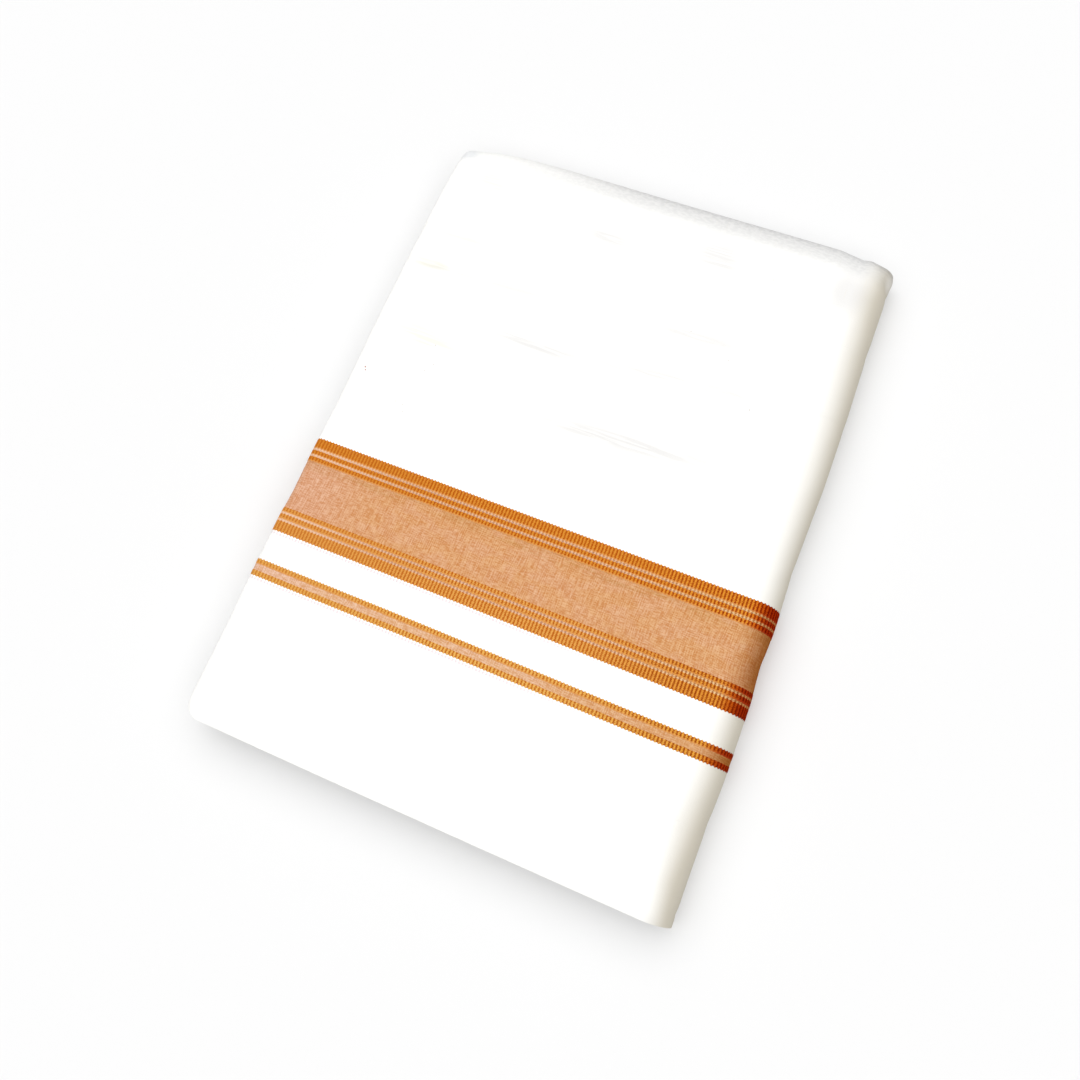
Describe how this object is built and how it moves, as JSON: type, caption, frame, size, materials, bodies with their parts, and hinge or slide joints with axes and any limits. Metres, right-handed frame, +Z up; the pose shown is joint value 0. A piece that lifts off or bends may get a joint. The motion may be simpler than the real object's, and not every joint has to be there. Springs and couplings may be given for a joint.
{
  "type": "folded dhoti cloth",
  "caption": "Long cotton dhoti cloth with two woven borders, folded into a flat packet with a rounded spine on one long side and stacked folds on the other.",
  "frame": {"origin": "middle of the packet's footprint, on its flat underside", "axes": "+X across the packet towards the spine, +Y up the packet towards the creased end, +Z up"},
  "size_m": [0.2282, 0.3172, 0.02],
  "materials": {
    "white_cotton": "bleached plain-woven cotton, matt",
    "wide_border": "golden orange ribbed stripes on each side of a peach plain-woven centre",
    "narrow_border": "two golden orange ribbed stripes with peach between them",
    "hidden_cotton": "bleached plain-woven cotton in the shade of the folds"
  },
  "bodies": {
    "root": {"field_upper": "white_cotton", "border_wide": "wide_border", "field_between": "white_cotton", "border_narrow": "narrow_border", "field_lower": "white_cotton", "hidden_layers": "hidden_cotton"}
  },
  "joints": []
}
